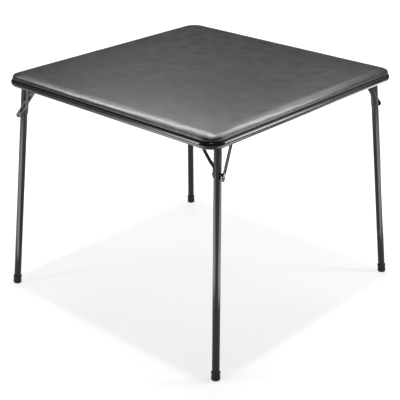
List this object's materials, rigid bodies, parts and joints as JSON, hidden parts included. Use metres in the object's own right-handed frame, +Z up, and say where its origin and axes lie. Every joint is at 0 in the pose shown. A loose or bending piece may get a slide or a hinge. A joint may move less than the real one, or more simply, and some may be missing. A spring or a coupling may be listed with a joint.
{
  "type": "folding card table",
  "caption": "Square folding card table with a padded black vinyl top, a round steel rail, and splayed tube legs that fold flat under the top.",
  "frame": {"origin": "on the floor under the middle of the top", "axes": "+Z up, sides of the top along X and Y"},
  "size_m": [0.9178, 0.9178, 0.724],
  "materials": {
    "black_vinyl": "satin",
    "foam": "matte",
    "hardboard": "matte",
    "black_enamel": "gloss",
    "zinc_plate": "satin",
    "black_rubber": "matte"
  },
  "bodies": {
    "table_top": {"top_cover": "black_vinyl", "foam_pad": "foam", "top_board": "hardboard", "cover_staples": "zinc_plate", "frame_rail": "black_enamel", "rail_splice": "zinc_plate", "rail_screws": "zinc_plate", "bracket_screws": "zinc_plate", "hinge_bracket_front_left": "black_enamel", "arm_rivet_front_left": "zinc_plate", "hinge_bracket_front_right": "black_enamel", "arm_rivet_front_right": "zinc_plate", "hinge_bracket_back_right": "black_enamel", "arm_rivet_back_right": "zinc_plate", "hinge_bracket_back_left": "black_enamel", "arm_rivet_back_left": "zinc_plate"},
    "leg_front_left": {"leg_tube_front_left": "black_enamel", "hinge_rod_front_left": "zinc_plate", "push_nut_front_left": "zinc_plate", "leg_brace_front_left": "black_enamel", "brace_rivet_front_left": "zinc_plate", "arm_stud_front_left": "zinc_plate", "rubber_tip_front_left": "black_rubber"},
    "arm_front_left": {"lock_arm_front_left": "black_enamel"},
    "button_front_left": {"slide_button_front_left": "zinc_plate"},
    "leg_front_right": {"leg_tube_front_right": "black_enamel", "hinge_rod_front_right": "zinc_plate", "push_nut_front_right": "zinc_plate", "leg_brace_front_right": "black_enamel", "brace_rivet_front_right": "zinc_plate", "arm_stud_front_right": "zinc_plate", "rubber_tip_front_right": "black_rubber"},
    "arm_front_right": {"lock_arm_front_right": "black_enamel"},
    "button_front_right": {"slide_button_front_right": "zinc_plate"},
    "leg_back_right": {"leg_tube_back_right": "black_enamel", "hinge_rod_back_right": "zinc_plate", "push_nut_back_right": "zinc_plate", "leg_brace_back_right": "black_enamel", "brace_rivet_back_right": "zinc_plate", "arm_stud_back_right": "zinc_plate", "rubber_tip_back_right": "black_rubber"},
    "arm_back_right": {"lock_arm_back_right": "black_enamel"},
    "button_back_right": {"slide_button_back_right": "zinc_plate"},
    "leg_back_left": {"leg_tube_back_left": "black_enamel", "hinge_rod_back_left": "zinc_plate", "push_nut_back_left": "zinc_plate", "leg_brace_back_left": "black_enamel", "brace_rivet_back_left": "zinc_plate", "arm_stud_back_left": "zinc_plate", "rubber_tip_back_left": "black_rubber"},
    "arm_back_left": {"lock_arm_back_left": "black_enamel"},
    "button_back_left": {"slide_button_back_left": "zinc_plate"}
  },
  "joints": [
    {"name": "leg_fold_front_left", "type": "hinge", "parent": "table_top", "child": "leg_front_left", "pos_m": [-0.3733, -0.3978, 0.692], "axis": [0.342, -0.9397, 0], "range_deg": [0, 95.74]},
    {"name": "arm_swing_front_left", "type": "hinge", "parent": "table_top", "child": "arm_front_left", "pos_m": [-0.31947, -0.40098, 0.692], "axis": [0.342, -0.9397, 0], "range_deg": [0, 121.65]},
    {"name": "button_slide_front_left", "type": "slide", "parent": "arm_front_left", "child": "button_front_left", "axis": [0.5452, 0.1984, 0.8145], "range_m": [0, 0.06808]},
    {"name": "leg_fold_front_right", "type": "hinge", "parent": "table_top", "child": "leg_front_right", "pos_m": [0.3978, -0.3733, 0.692], "axis": [0.9397, 0.342, 0], "range_deg": [0, 95.74]},
    {"name": "arm_swing_front_right", "type": "hinge", "parent": "table_top", "child": "arm_front_right", "pos_m": [0.40098, -0.31947, 0.692], "axis": [0.9397, 0.342, 0], "range_deg": [0, 121.65]},
    {"name": "button_slide_front_right", "type": "slide", "parent": "arm_front_right", "child": "button_front_right", "axis": [-0.1984, 0.5452, 0.8145], "range_m": [0, 0.06808]},
    {"name": "leg_fold_back_right", "type": "hinge", "parent": "table_top", "child": "leg_back_right", "pos_m": [0.3733, 0.3978, 0.692], "axis": [-0.342, 0.9397, 0], "range_deg": [0, 95.74]},
    {"name": "arm_swing_back_right", "type": "hinge", "parent": "table_top", "child": "arm_back_right", "pos_m": [0.31947, 0.40098, 0.692], "axis": [-0.342, 0.9397, 0], "range_deg": [0, 121.65]},
    {"name": "button_slide_back_right", "type": "slide", "parent": "arm_back_right", "child": "button_back_right", "axis": [-0.5452, -0.1984, 0.8145], "range_m": [0, 0.06808]},
    {"name": "leg_fold_back_left", "type": "hinge", "parent": "table_top", "child": "leg_back_left", "pos_m": [-0.3978, 0.3733, 0.692], "axis": [-0.9397, -0.342, 0], "range_deg": [0, 95.74]},
    {"name": "arm_swing_back_left", "type": "hinge", "parent": "table_top", "child": "arm_back_left", "pos_m": [-0.40098, 0.31947, 0.692], "axis": [-0.9397, -0.342, 0], "range_deg": [0, 121.65]},
    {"name": "button_slide_back_left", "type": "slide", "parent": "arm_back_left", "child": "button_back_left", "axis": [0.1984, -0.5452, 0.8145], "range_m": [0, 0.06808]}
  ],
  "couplings": [
    {"joint": "arm_swing_front_left", "follows": "leg_fold_front_left", "ratio": 1.2707},
    {"joint": "button_slide_front_left", "follows": "leg_fold_front_left", "m_per_rad": 0.040744},
    {"joint": "arm_swing_front_right", "follows": "leg_fold_front_right", "ratio": 1.2707},
    {"joint": "button_slide_front_right", "follows": "leg_fold_front_right", "m_per_rad": 0.040744},
    {"joint": "arm_swing_back_right", "follows": "leg_fold_back_right", "ratio": 1.2707},
    {"joint": "button_slide_back_right", "follows": "leg_fold_back_right", "m_per_rad": 0.040744},
    {"joint": "arm_swing_back_left", "follows": "leg_fold_back_left", "ratio": 1.2707},
    {"joint": "button_slide_back_left", "follows": "leg_fold_back_left", "m_per_rad": 0.040744}
  ]
}
